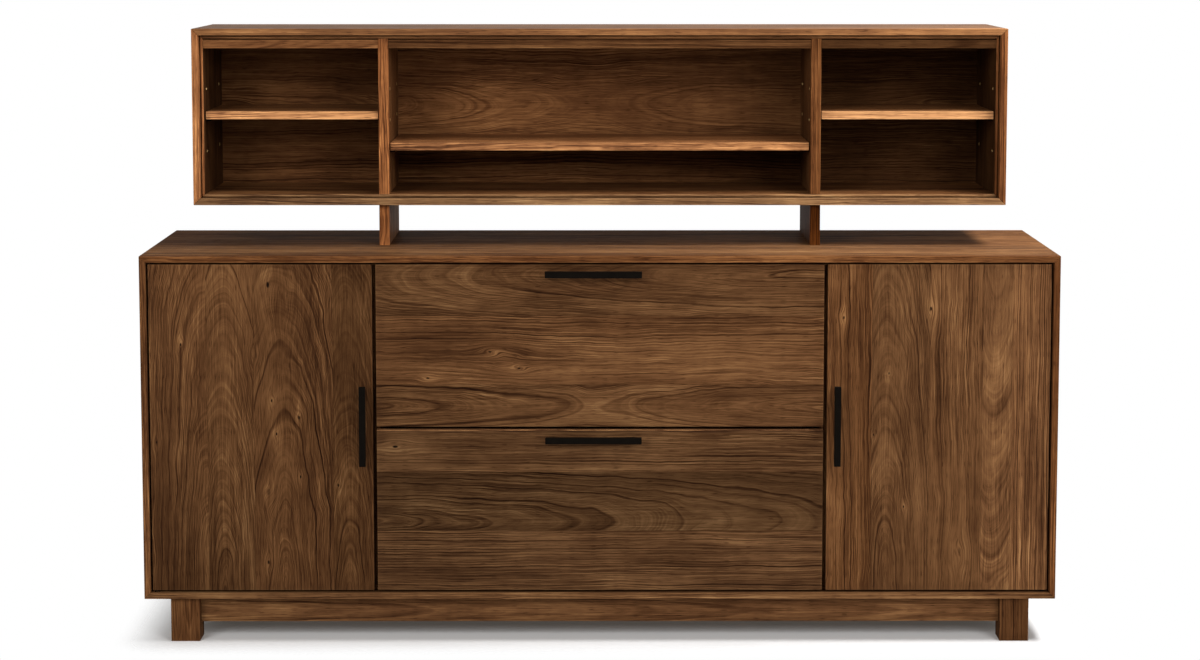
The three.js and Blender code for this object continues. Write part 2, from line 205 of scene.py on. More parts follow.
def noise(tree, x, y, z, detail=2.0, roughness=0.5):
    """Smooth noise from 0 to 1, with blobs about one unit across."""
    place = add_node(tree, "ShaderNodeCombineXYZ")
    for socket, value in zip(place.inputs, (x, y, z)):
        feed(tree, socket, value)
    node = add_node(tree, "ShaderNodeTexNoise", noise_dimensions="3D")
    tree.links.new(place.outputs[0], node.inputs["Vector"])
    node.inputs["Scale"].default_value = 1.0
    node.inputs["Detail"].default_value = detail
    node.inputs["Roughness"].default_value = roughness
    return Wire(tree, node.outputs[0])


def chance(value):
    """A random number from 0 to 1 for each value."""
    node = add_node(value.tree, "ShaderNodeTexWhiteNoise", noise_dimensions="1D")
    feed(value.tree, node.inputs["W"], value)
    return Wire(value.tree, node.outputs["Value"])


def ramp(value, stops):
    tree = value.tree
    node = add_node(tree, "ShaderNodeValToRGB")
    elements = node.color_ramp.elements
    while len(elements) < len(stops):
        elements.new(0.5)
    for element, (place, colour) in zip(elements, stops):
        element.position = place
        element.color = (*colour, 1.0)
    feed(tree, node.inputs["Fac"], value)
    return Wire(tree, node.outputs["Color"])


def blend(factor, first, second):
    """The first colour where factor is 0, and the second where it is 1."""
    tree = factor.tree
    node = add_node(tree, "ShaderNodeMix", data_type="RGBA")
    feed(tree, node.inputs["Factor"], factor)
    colours = [socket for socket in node.inputs if socket.type == "RGBA"]
    feed(tree, colours[0], first)
    feed(tree, colours[1], second)
    result = next(socket for socket in node.outputs if socket.type == "RGBA")
    return Wire(tree, result)


def tinted(colour, tone, warm):
    """A colour made lighter by tone and redder by warm."""
    tree = colour.tree
    tint = add_node(tree, "ShaderNodeCombineXYZ")
    for socket, value in zip(tint.inputs, (tone * (1.0 + warm), tone, tone * (1.0 - warm))):
        feed(tree, socket, value)
    node = add_node(tree, "ShaderNodeVectorMath", operation="MULTIPLY")
    feed(tree, node.inputs[0], colour)
    tree.links.new(tint.outputs[0], node.inputs[1])
    return Wire(tree, node.outputs[0])


def bump(height, strength, distance):
    tree = height.tree
    node = add_node(tree, "ShaderNodeBump")
    node.inputs["Strength"].default_value = strength
    node.inputs["Distance"].default_value = distance
    feed(tree, node.inputs["Height"], height)
    return Wire(tree, node.outputs["Normal"])


def new_material(name):
    """A material with its tree, its shader and the object's own coordinates."""
    material = bpy.data.materials.new(name)
    material.use_nodes = True
    tree = material.node_tree
    shader = tree.nodes["Principled BSDF"]
    coordinates = add_node(tree, "ShaderNodeTexCoord")
    parts = add_node(tree, "ShaderNodeSeparateXYZ")
    tree.links.new(coordinates.outputs["Object"], parts.inputs[0])
    place = [Wire(tree, socket) for socket in parts.outputs]
    return material, tree, shader, place


# Walnut


@dataclass
class Stave:
    """One plank of a glued-up board, and the part of a tree that it was cut from."""

    width: float
    heart: float  # where the tree's heart line runs, across the stave from its low edge
    depth: float = 0.04  # how deep the heart lies under the face, at the low end
    slope: float = 0.03  # how fast that depth grows along the grain
    wander: float = 0.005  # how far the rings stray
    ring: float = 0.006  # the rings' spacing
    tone: float = 1.0  # how light the plank is
    warm: float = 0.0  # how much redder than plain walnut it is
    lean: float = 0.0  # how much lighter its far end is than its near end
    turn: float = 9.0  # where along the grain the slope turns back
    bold: float = 1.0  # how dark the rings' lines are


@dataclass
class Knot:
    """A knot, placed along and across its board from the board's low corner."""

    along: float
    across: float
    size: float
    dark: float = 1.0  # 0 for a swirl of grain with no knot in it


FIGURE_INPUTS = (
    "Along", "Across", "Through", "Heart", "Depth", "Slope", "Turn", "Wander", "Ring", "Seed",
    "Bold", "Push", "Core", "Halo", "Wear",
)


def walnut_figure():
    """A group that grows walnut's rings round a heart line, with its streaks, pores and clouds."""
    tree = bpy.data.node_groups.new("walnut_figure", "ShaderNodeTree")
    for name in FIGURE_INPUTS:
        tree.interface.new_socket(name, in_out="INPUT", socket_type="NodeSocketFloat")
    for name, kind in (("Color", "Color"), ("Roughness", "Float"), ("Height", "Float")):
        tree.interface.new_socket(name, in_out="OUTPUT", socket_type="NodeSocket" + kind)
    given = add_node(tree, "NodeGroupInput")
    values = [Wire(tree, given.outputs[name]) for name in FIGURE_INPUTS]
    along, across, through, heart, depth, slope, turn, wander, ring, seed, *rest = values
    bold, push, core, halo, wear = rest

    drift = noise(tree, along * 3.1, across * 5.0, seed) - 0.5
    deep = noise(tree, along * 4.3, across * 6.0, seed + 31.7) - 0.5
    sway = noise(tree, along * 11.0, across * 17.0, seed + 63.1) - 0.5
    ripple = noise(tree, along * 45.0, across * 80.0, seed + 91.0, 1.0) - 0.5
    aside = across - heart - push + wander * (drift * 2.4 + sway * 1.3 + ripple * 0.15)
    below = depth + slope * (turn - abs(along - turn)) + through + wander * (deep * 3.2 + sway * 0.8)
    radius = (aside * aside + below * below) ** 0.5
    even = radius / ring
    rings = even + noise(tree, even * 0.45, along * 1.2, seed + 7.0) * 1.8
    part = maths(tree, "FRACT", rings)
    strength = chance(maths(tree, "FLOOR", rings) + seed)
    flank = abs(aside) / radius * 0.7 + 0.3
    late = rise(part, 0.42, 0.80) * (1.0 - rise(part, 0.80, 0.94)) * strength ** 2.5 * flank * bold
    thin = maths(tree, "FRACT", rings * 3.37)
    thin_late = rise(thin, 0.3, 0.7) * (1.0 - rise(thin, 0.7, 0.95)) * rise(flank, 0.4, 0.85)

    band = noise(tree, rings * 0.35, along * 2.0, seed + 11.0) - 0.5
    streak = noise(tree, along * 3.4, radius * 480.0, through * 300.0 + seed, 4.0, 0.65) - 0.5
    straight = noise(tree, along * 6.0, aside * 330.0, through * 330.0 + seed, 3.0, 0.7) - 0.5
    cloud = noise(tree, along * 3.0, across * 11.0, seed + 5.0, 2.0) - 0.5
    mottle = noise(tree, along * 20.0, aside * 55.0, seed + 47.0, 2.0) - 0.5
    fibre = noise(tree, along * 8.0, aside * 900.0, through * 900.0, 1.0) - 0.5
    pore = rise(noise(tree, along * 45.0, aside * 900.0, through * 900.0, 0.0), 0.62, 0.74)
    plain = rise(noise(tree, along * 2.4, across * 9.0, seed + 23.0), 0.36, 0.64)

    grain = (streak * 0.85 + straight * 0.62 - thin_late * 0.18) * (1.4 - plain * 0.95) * (flank * 0.6 + 0.45)
    value = grain + band * 0.42 + cloud * 0.45 + mottle * 0.28 + fibre * 0.56 + halo * 0.14
    value = value - late * 0.42 - pore * 0.18 + wear * 0.06 + 0.55
    colour = blend(core, ramp(value, WALNUT_COLOURS), KNOT_COLOUR)

    done = add_node(tree, "NodeGroupOutput")
    feed(tree, done.inputs["Color"], colour)
    feed(tree, done.inputs["Roughness"], streak * 0.16 + pore * 0.12 - wear * 0.06 + WALNUT_ROUGHNESS)
    feed(tree, done.inputs["Height"], fibre * 0.5 - pore)
    return tree


WALNUT_FIGURE = walnut_figure()


def planks(width, seed, tone=1.0, warm=0.0, bold=1.0, plank=0.105):
    """Staves of about a plank's width that fill a board, each from its own part of the tree."""
    draw = random.Random(seed)
    count = max(1, round(width / plank))
    each = width / count
    return [
        Stave(
            each,
            heart=draw.uniform(-1.3, 2.3) * each,
            depth=draw.uniform(0.015, 0.06),
            slope=draw.uniform(-0.05, 0.05),
            wander=draw.uniform(0.001, 0.003),
            ring=draw.uniform(0.0048, 0.0072),
            tone=tone * draw.uniform(0.92, 1.08),
            warm=warm,
            bold=bold,
        )
        for _ in range(count)
    ]


def by_stave(steps, values):
    """The value of the stave that each point lies on."""
    total = values[0]
    if len(set(values)) == 1:
        return total
    for step, before, after in zip(steps, values, values[1:]):
        total = step * (after - before) + total
    return total


def knot_fields(along, across, knots):
    """How far knots push the grain aside, and where their cores and pale rims lie."""
    push, core, halo = 0.0, 0.0, 0.0
    for knot in knots:
        down = (along - knot.along) / (knot.size * 2.2)
        side = across - knot.across
        away = down * down + side * side / knot.size ** 2
        near = maths(along.tree, "EXPONENT", away * -1.0)
        around = maths(along.tree, "EXPONENT", away * -0.2)
        push = side * around * 0.85 + push
        core = rise(near, 0.86, 0.97) * knot.dark + core
        halo = around * knot.dark + halo
    return push, core, halo


def edge_wear(place, low, high):
    """1 on a board's edges, fading to 0 a few millimetres in."""
    gaps = [least(wire - low[i], high[i] - wire) for i, wire in enumerate(place)]
    first, second, third = gaps
    nearest_edge = most(least(first, second), least(most(first, second), third))
    return 1.0 - rise(nearest_edge, 0.0006, 0.0032)


def walnut(
    node, axes, staves, seed, knots=(), front=None, inside=None, lengths=None, rear=None, top_highlight=None,
    shine=WALNUT_SHINE,
):
    """Walnut for one board. axes names its directions along the grain, across it and through the board.
    front is the (tone, warm) of a band along its front edge, inside the tone of its face towards the middle
    (painted shade on the hutch's sides), lengths the places along it where its tone changes, with the tone of
    each length (painted shade behind the hutch's side bays), rear the tone of its rear face, top_highlight the
    tone of a painted highlight on its top edge, and shine how much it reflects."""
    material, tree, shader, place = new_material(f"walnut_{node}")
    low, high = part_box(node)
    along, across, through = (place[AXES.index(a)] - low[AXES.index(a)] for a in axes)
    full_length = (high - low)[AXES.index(axes[0])]

    edges = []
    for stave in staves[:-1]:
        edges.append(stave.width + (edges[-1] if edges else 0.0))
    starts = [0.0, *edges]
    steps = [across > edge for edge in edges]
    seam = 0.0
    for edge in edges:
        seam = (abs(across - edge) < GLUE_LINE) + seam
    push, core, halo = knot_fields(along, across, knots)

    figure = add_node(tree, "ShaderNodeGroup", node_tree=WALNUT_FIGURE)
    inputs = {
        "Along": along,
        "Across": across,
        "Through": through,
        "Heart": by_stave(steps, [start + stave.heart for start, stave in zip(starts, staves)]),
        "Depth": by_stave(steps, [stave.depth for stave in staves]),
        "Slope": by_stave(steps, [stave.slope for stave in staves]),
        "Turn": by_stave(steps, [stave.turn for stave in staves]),
        "Wander": by_stave(steps, [stave.wander for stave in staves]),
        "Ring": by_stave(steps, [stave.ring for stave in staves]),
        "Seed": by_stave(steps, [seed + 17.3 * i for i in range(len(staves))]),
        "Bold": by_stave(steps, [stave.bold for stave in staves]),
        "Push": push,
        "Core": core,
        "Halo": halo,
        "Wear": edge_wear(place, low, high),
    }
    for name, value in inputs.items():
        feed(tree, figure.inputs[name], value)

    lean = by_stave(steps, [stave.lean for stave in staves])
    tone = ((along / full_length - 0.5) * lean + 1.0) * by_stave(steps, [stave.tone for stave in staves])
    warm = by_stave(steps, [stave.warm for stave in staves])
    # Tone steps along the board; on the hutch's back the darker lengths behind the side bays are painted shade
    if lengths:
        ends, tones = lengths
        tone = tone * by_stave([along > end for end in ends], tones)
    if rear:
        behind = place[1] > high.y - INNER_FACE
        tone = behind * (rear - tone) + tone
    # Painted shade: the face towards the middle takes its own darker tone, on the hutch's sides standing for the
    # shade inside the bays
    if inside:
        inner = max(high.x, -low.x) - abs(place[0]) > (high - low).x - INNER_FACE
        tone = inner * (inside - tone) + tone
    if front:
        front_edge = place[1] < low.y + FRONT_BAND
        tone = front_edge * (front[0] - tone) + tone
        warm = front_edge * (front[1] - warm) + warm
    # Painted highlight: the top edge made lighter, as where light falls on it
    if top_highlight:
        upper = place[2] > high.z - TOP_HIGHLIGHT_DEPTH
        tone = upper * (top_highlight - tone) + tone
    if edges:
        tone = tone * (1.0 - seam * 0.3)
    feed(tree, shader.inputs["Base Color"], tinted(Wire(tree, figure.outputs["Color"]), tone, warm))
    feed(tree, shader.inputs["Roughness"], Wire(tree, figure.outputs["Roughness"]))
    feed(tree, shader.inputs["Normal"], bump(Wire(tree, figure.outputs["Height"]), 0.25, 0.0002))
    shader.inputs["Specular IOR Level"].default_value = shine
    shader.inputs["Specular Tint"].default_value = WALNUT_SHINE_TINT
    return material


# The fronts' staves, from each front's low corner, and their knots
FRONTS = {
    "left_door": (
        "zxy",
        [
            Stave(0.114, 0.120, 0.040, 0.08, 0.012, 0.0060, tone=0.90, warm=-0.05, lean=0.50),
            Stave(0.093, 0.032, 0.004, 0.15, 0.007, 0.0056, tone=0.82, warm=-0.05, lean=0.45, bold=1.3),
            Stave(0.158, 0.058, 0.006, 0.17, 0.011, 0.0062, tone=0.87, warm=-0.05, lean=0.10, bold=1.3),
            Stave(0.080, 0.030, 0.006, 0.14, 0.009, 0.0042, tone=0.63, warm=-0.04),
        ],
        [
            Knot(0.618, 0.238, 0.009),
            Knot(0.600, 0.268, 0.014, dark=0.0),
            Knot(0.498, 0.063, 0.005),
            Knot(0.475, 0.213, 0.008, dark=0.2),
            Knot(0.385, 0.243, 0.005),
            Knot(0.351, 0.297, 0.006),
            Knot(0.318, 0.252, 0.005),
            Knot(0.301, 0.012, 0.004),
            Knot(0.231, 0.299, 0.005),
            Knot(0.214, 0.374, 0.005),
            Knot(0.200, 0.235, 0.010, dark=0.4),
            Knot(0.057, 0.233, 0.006),
        ],
    ),
    "right_door": (
        "zxy",
        [
            Stave(0.089, -0.060, 0.050, 0.03, 0.009, 0.0065, tone=0.88, lean=0.18),
            Stave(0.115, 0.031, 0.004, 0.13, 0.007, 0.0056, tone=0.90, warm=-0.07, lean=0.05, bold=1.2),
            Stave(0.106, -0.120, 0.060, 0.02, 0.009, 0.0052, tone=0.99, warm=-0.06, lean=0.32),
            Stave(0.059, 0.025, 0.110, -0.12, 0.007, 0.0050, tone=1.18, warm=-0.08, lean=0.05, bold=1.2),
            Stave(0.076, 0.250, 0.030, 0.01, 0.004, 0.0040, tone=1.42, warm=-0.07, lean=0.05, bold=1.3),
        ],
        [
            Knot(0.552, 0.032, 0.005),
            Knot(0.570, 0.205, 0.006),
            Knot(0.440, 0.123, 0.004),
            Knot(0.316, 0.093, 0.004),
            Knot(0.170, 0.155, 0.004),
            Knot(0.080, 0.268, 0.009, dark=0.3),
        ],
    ),
    "upper_drawer_front": (
        "xzy",
        [
            Stave(0.0850, 0.040, 0.006, 0.11, 0.007, 0.0070, 0.91, -0.08, 0.22, turn=0.42, bold=1.3),
            Stave(0.1380, -0.090, 0.040, 0.02, 0.009, 0.0062, tone=1.03, warm=-0.06, lean=0.05, bold=1.4),
            Stave(0.1030, 0.081, 0.085, -0.10, 0.007, 0.0080, tone=0.87, warm=-0.08, lean=0.15, bold=1.4),
        ],
        [
            Knot(0.257, 0.134, 0.013, dark=0.0),
            Knot(0.227, 0.151, 0.005),
            Knot(0.285, 0.118, 0.005),
            Knot(0.103, 0.098, 0.005),
        ],
    ),
    "lower_drawer_front": (
        "xzy",
        [
            Stave(0.1216, 0.210, 0.030, 0.015, 0.006, 0.0052, tone=1.01, warm=-0.13, lean=0.14, bold=1.2),
            Stave(0.1190, 0.018, 0.004, 0.11, 0.008, 0.0060, tone=0.59, warm=-0.12, lean=0.06, bold=1.2),
            Stave(0.0855, -0.150, 0.040, 0.02, 0.005, 0.0058, tone=0.90, warm=-0.12, lean=0.15, bold=1.3),
        ],
        [
            Knot(0.037, 0.292, 0.008),
        ],
    ),
}
# A painted highlight on the lower drawer front's top edge, where light falls on it through the gap above
FRONT_TOP_HIGHLIGHTS = {"lower_drawer_front": 3.0}


@dataclass
class Board:
    """A plainer board: its directions along the grain, across it and through it, and its colour."""

    axes: str
    tone: float = 1.0
    warm: float = 0.0
    front: tuple = None  # the tone and warmth of a band along its front edge
    inside: float = None  # the tone of its face towards the middle, darker on the hutch's sides as painted shade inside the bays
    bold: float = 1.0  # how dark the rings' lines are
    shine: float = WALNUT_SHINE  # how much its finish reflects


# Tones carry part of the light as well as the wood's own colour: the right upright is darker than the left one as
# painted shade
BOARDS = {
    "case_bottom": Board("xyz", 1.15, front=(1.16, -0.10)),
    "case_left_side": Board("zyx", 1.15),
    "case_right_side": Board("zyx", 1.00, front=(0.97, 0.12)),
    "case_back": Board("xzy", 0.90),
    "left_partition": Board("zyx", 0.95),
    "right_partition": Board("zyx", 0.95),
    "left_cupboard_shelf": Board("xyz"),
    "right_cupboard_shelf": Board("xyz"),
    "front_apron": Board("xzy", 1.16, -0.08),
    "rear_apron": Board("xzy"),
    "left_base_rail": Board("yzx"),
    "right_base_rail": Board("yzx"),
    "hutch_top": Board("xyz", 1.45, -0.10, front=(1.57, 0.0), bold=1.2, shine=0.12),
    "hutch_bottom": Board("xyz", 1.20, front=(2.42, -0.20), bold=1.5),
    # The hutch's sides: darker faces inside the bays, as painted shade
    "hutch_left_side": Board("zyx", 1.50, front=(3.45, 0.02), inside=0.60, bold=1.7),
    "hutch_right_side": Board("zyx", 1.40, front=(1.80, 0.10), inside=0.45, bold=1.5),
    "left_divider": Board("zyx", 1.50, front=(2.50, 0.10), bold=1.6),
    "right_divider": Board("zyx", 1.00, front=(1.05, 0.12), bold=1.5),
    "left_upright": Board("zyx", 2.50, -0.07, front=(2.75, 0.12)),
    # Painted shade: the right upright much darker than the left one
    "right_upright": Board("zyx", 0.34, 0.28, front=(0.48, 0.45)),
    "left_hutch_shelf": Board("xyz", 1.80, front=(4.95, -0.10)),
    "right_hutch_shelf": Board("xyz", 1.80, front=(4.60, -0.14)),
    "centre_hutch_shelf": Board("xyz", 3.00, front=(3.50, -0.06)),
    "left_top_rail": Board("xzy", 1.77, bold=1.6),
    "centre_top_rail": Board("xzy", 0.94, bold=1.4),
    "right_top_rail": Board("xzy", 0.67, bold=1.4),
    "left_front_leg": Board("zxy", 0.96),
    "right_front_leg": Board("zxy", 0.82),
    "left_rear_leg": Board("zxy"),
    "right_rear_leg": Board("zxy"),
}

# The case top: one wide light plank along the front, and darker ones behind it
TOP_PLANK = 0.203
TOP_STAVES = [
    Stave(TOP_PLANK, -0.050, 0.030, 0.01, 0.004, 0.0160, tone=1.80, warm=-0.12, bold=1.9),
    Stave(0.102, -0.060, 0.030, 0.02, 0.006, 0.0120, tone=1.31, warm=-0.06, lean=0.3, bold=1.6),
    Stave(0.101, 0.050, 0.020, -0.02, 0.007, 0.0120, tone=1.26, warm=-0.06, lean=0.3, bold=1.6),
    Stave(0.102, 0.160, 0.030, 0.02, 0.006, 0.0120, tone=1.28, warm=-0.06, lean=0.3, bold=1.6),
]
TOP_FRONT = (1.09, 0.07)
TOP_SHINE = 0.004

# The hutch's back: arches that meet near its middle, with painted shade as a darker length behind each side bay
# and as a tone that darkens towards its right end
BACK_STAVE = Stave(0.35, 0.172, 0.006, 0.08, 0.008, 0.0063, tone=1.36, lean=-0.95, turn=0.78, bold=0.9)
BAY_SHADE_TONES = (0.70, 1.0, 0.76)
BACK_REAR = 0.95


def dress_walnut():
    for seed, (node, (axes, staves, knots)) in enumerate(FRONTS.items()):
        wood = walnut(node, axes, staves, seed * 3.7, knots, top_highlight=FRONT_TOP_HIGHLIGHTS.get(node))
        finish(node, wood, WOOD_EDGE)
    for seed, (node, board) in enumerate(BOARDS.items(), start=len(FRONTS)):
        low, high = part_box(node)
        across = AXES.index(board.axes[1])
        staves = planks(high[across] - low[across], seed, board.tone, board.warm, board.bold)
        looks = {"front": board.front, "inside": board.inside, "shine": board.shine}
        finish(node, walnut(node, board.axes, staves, seed * 3.7, **looks), WOOD_EDGE)

    top = walnut("case_top", "xyz", TOP_STAVES, 150.0, front=TOP_FRONT, shine=TOP_SHINE)
    finish("case_top", top, WOOD_EDGE)
    back_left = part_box("hutch_back")[0].x
    dividers = [sum(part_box(f"{side}_divider"), Vector()).x / 2 - back_left for side in ("left", "right")]
    back = walnut("hutch_back", "xzy", [BACK_STAVE], 170.0, lengths=(dividers, BAY_SHADE_TONES), rear=BACK_REAR)
    finish("hutch_back", back, WOOD_EDGE)


# The other finishes


def pale_wood(node):
    """The drawer boxes' wood, with dovetails at the corners where the side boards meet the ends."""
    material, tree, shader, place = new_material(f"pale_wood_{node}")
    low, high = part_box(node)
    x, y, z = place
    from_side = least(x - low.x, high.x - x)
    from_end = least(y - low.y, high.y - y)
    in_side = from_side < BOX_WALL
    in_end = from_end < BOX_WALL
    wave = abs(maths(tree, "FRACT", (z - low.z) / DOVETAIL_PITCH) - 0.5) * 2.0
    reach = from_end / BOX_WALL * DOVETAIL_FLARE + DOVETAIL_SHARE
    pin = wave < reach
    end_board = in_end * (1.0 - in_side) + in_end * in_side * pin
    along = (x - y) * end_board + y
    through = (y - x) * end_board + x

    broad = noise(tree, along * 2.5, z * 14.0, through * 14.0) - 0.5
    streak = noise(tree, along * 9.0, z * 260.0, through * 260.0, 3.0, 0.6) - 0.5
    speck = rise(noise(tree, along * 70.0, z * 1100.0, through * 1100.0, 0.0), 0.62, 0.74)
    joint = in_end * in_side * (abs(wave - reach) < 0.03)
    value = broad * 0.5 + streak * 0.5 + end_board * in_side * -0.16 - speck * 0.08 - joint * 0.35 + 0.52
    feed(tree, shader.inputs["Base Color"], ramp(value, PALE_COLOURS))
    feed(tree, shader.inputs["Roughness"], streak * 0.2 + 0.5)
    feed(tree, shader.inputs["Normal"], bump(streak - speck, 0.2, 0.0002))
    shader.inputs["Specular IOR Level"].default_value = 0.3
    return material


def black_coating():
    """A matte black coating: fine orange peel, with the colour rubbed a little along its length."""
    material, tree, shader, place = new_material("black_coating")
    x, y, z = place
    peel = noise(tree, x * 1600.0, y * 1600.0, z * 1600.0) - 0.5
    rub = noise(tree, x * 60.0, y * 60.0, z * 60.0, 3.0) - 0.5
    feed(tree, shader.inputs["Base Color"], ramp(rub + 0.5, [
        (0.2, (0.0019, 0.0012, 0.0007)),
        (0.8, (0.0038, 0.0026, 0.0015)),
    ]))
    feed(tree, shader.inputs["Roughness"], rub * 0.2 + 0.48)
    feed(tree, shader.inputs["Normal"], bump(peel, 0.15, 0.0001))
    shader.inputs["Specular IOR Level"].default_value = 0.025
    return material


def plated_steel():
    """Zinc-plated steel, drawn from front to back."""
    material, tree, shader, place = new_material("plated_steel")
    x, y, z = place
    drawn = noise(tree, x * 900.0, y * 9.0, z * 900.0, 2.0) - 0.5
    bloom = noise(tree, x * 45.0, y * 45.0, z * 45.0, 3.0) - 0.5
    feed(tree, shader.inputs["Base Color"], ramp(bloom * 0.7 + drawn * 0.3 + 0.5, [
        (0.25, (0.42, 0.43, 0.45)),
        (0.75, (0.64, 0.65, 0.66)),
    ]))
    feed(tree, shader.inputs["Roughness"], bloom * 0.2 + drawn * 0.15 + 0.36)
    feed(tree, shader.inputs["Normal"], bump(drawn, 0.12, 0.0001))
    shader.inputs["Metallic"].default_value = 1.0
    return material


def brass():
    """Turned brass, dulled a little."""
    material, tree, shader, place = new_material("brass")
    x, y, z = place
    tarnish = noise(tree, x * 300.0, y * 300.0, z * 300.0, 3.0)
    feed(tree, shader.inputs["Base Color"], ramp(tarnish, [
        (0.3, (0.48, 0.31, 0.10)),
        (0.7, (0.80, 0.58, 0.26)),
    ]))
    feed(tree, shader.inputs["Roughness"], tarnish * 0.25 + 0.22)
    shader.inputs["Metallic"].default_value = 1.0
    return material


def dark_hollow():
    """The unlit inside of a small hole."""
    material, tree, shader, place = new_material("dark_hollow")
    x, y, z = place
    # Painted shade: a near-black colour, mottled a little, stands for the dark inside of the hole
    shade_mottle = noise(tree, x * 900.0, y * 900.0, z * 900.0)
    feed(tree, shader.inputs["Base Color"], ramp(shade_mottle, [
        (0.3, (0.004, 0.002, 0.001)),
        (0.7, (0.010, 0.006, 0.003)),
    ]))
    shader.inputs["Roughness"].default_value = 0.9
    shader.inputs["Specular IOR Level"].default_value = 0.05
    return material


def bumper_rubber():
    """Soft grey rubber of the doors' and drawers' bumpers."""
    material, tree, shader, place = new_material("bumper_rubber")
    x, y, z = place
    mottle = noise(tree, x * 700.0, y * 700.0, z * 700.0)
    feed(tree, shader.inputs["Base Color"], ramp(mottle, [
        (0.3, (0.20, 0.19, 0.18)),
        (0.7, (0.30, 0.29, 0.27)),
    ]))
    shader.inputs["Roughness"].default_value = 0.5
    return material


# The solids, with their edges eased


def smooth_faces():
    """Geometry nodes that shade every face smooth, so that eased edges look round."""
    tree = bpy.data.node_groups.new("smooth_faces", "GeometryNodeTree")
    tree.interface.new_socket("Geometry", in_out="INPUT", socket_type="NodeSocketGeometry")
    tree.interface.new_socket("Geometry", in_out="OUTPUT", socket_type="NodeSocketGeometry")
    given = add_node(tree, "NodeGroupInput")
    smooth = add_node(tree, "GeometryNodeSetShadeSmooth")
    done = add_node(tree, "NodeGroupOutput")
    tree.links.new(given.outputs[0], smooth.inputs["Geometry"])
    tree.links.new(smooth.outputs["Geometry"], done.inputs[0])
    return tree


SMOOTH_FACES = smooth_faces()


def finish(node, material, edge):
    """Gives a solid its material and rounds its sharp edges by a small radius."""
    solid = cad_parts[node]
    for slot in solid.material_slots:
        slot.material = material
    weld = solid.modifiers.new("weld", "WELD")
    weld.merge_threshold = 0.00001
    flat = solid.modifiers.new("flat_faces", "DECIMATE")
    flat.decimate_type = "DISSOLVE"
    flat.angle_limit = math.radians(0.5)
    eased = solid.modifiers.new("eased_edges", "BEVEL")
    eased.width = edge
    eased.segments = 3
    eased.limit_method = "ANGLE"
    eased.angle_limit = math.radians(30)
    smooth = solid.modifiers.new("smooth_faces", "NODES")
    smooth.node_group = SMOOTH_FACES
    shading = solid.modifiers.new("shading", "WEIGHTED_NORMAL")
    shading.weight = 100


# Small fittings


def turned(mesh, profile, place, axis, sides=20, dark_from=None):
    """Adds a turned solid to a mesh. Profile points are (distance along the axis, radius), from end to end.
    Faces from the profile's point dark_from onwards take the second material."""
    turn = Vector(axis).to_track_quat("Z", "Y").to_matrix()
    angles = [2 * math.pi * i / sides for i in range(sides)]
    rings = []
    for along, radius in profile:
        if radius == 0:
            points = [(0, 0, along)]
        else:
            points = [(radius * math.cos(a), radius * math.sin(a), along) for a in angles]
        rings.append([mesh.verts.new(Vector(place) + turn @ Vector(point)) for point in points])
    for number, (lower, upper) in enumerate(zip(rings, rings[1:])):
        for i in range(sides):
            j = (i + 1) % sides
            corners = [lower[i % len(lower)], lower[j % len(lower)], upper[j % len(upper)], upper[i % len(upper)]]
            face = mesh.faces.new(dict.fromkeys(corners))
            face.material_index = int(dark_from is not None and number >= dark_from)


def add_piece(name, mesh, materials, body):
    """Makes a mesh into a piece that rides on a body."""
    bmesh.ops.recalc_face_normals(mesh, faces=mesh.faces)
    data = bpy.data.meshes.new(name)
    mesh.to_mesh(data)
    mesh.free()
    data.shade_smooth()
    data.set_sharp_from_angle(angle=math.radians(40))
    for material in materials:
        data.materials.append(material)
    piece = bpy.data.objects.new(name, data)
    bpy.context.scene.collection.objects.link(piece)
    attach(piece, body)
    return piece


# Profiles as (distance along the axis, radius)
SHELF_PIN = [
    (0.0000, 0.0),
    (0.0000, 0.0036),
    (0.0008, 0.0036),
    (0.0012, SHELF_PIN_RADIUS),
    (0.0092, SHELF_PIN_RADIUS),
    (0.0098, 0.0019),
    (0.0098, 0.0),
]
PIN_SLEEVE = [
    (0.0000, 0.0),
    (0.0000, 0.0033),
    (0.0004, 0.0033),
    (0.0006, 0.0030),
    (0.0006, 0.0023),
    (0.0001, 0.0021),
    (0.0001, 0.0),
]
SLEEVE_HOLLOW_FROM = 5
SCREW_HEAD = [
    (0.0000, 0.0),
    (0.0000, 0.0042),
    (0.0008, 0.0042),
    (0.0018, 0.0034),
    (0.0022, 0.0018),
    (0.0012, 0.0015),
    (0.0012, 0.0),
]
SCREW_SOCKET_FROM = 4
BUMPER = [
    (0.0, 0.0),
    (0.0, BUMPER_RADIUS),
    (0.6 * BUMPER_THICKNESS, 0.93 * BUMPER_RADIUS),
    (0.9 * BUMPER_THICKNESS, 0.65 * BUMPER_RADIUS),
    (BUMPER_THICKNESS, 0.0),
]


def bay_faces(left_board, right_board):
    """The two faces that a shelf hangs between, as (x, direction into the bay)."""
    return [(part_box(left_board)[1].x, 1), (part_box(right_board)[0].x, -1)]


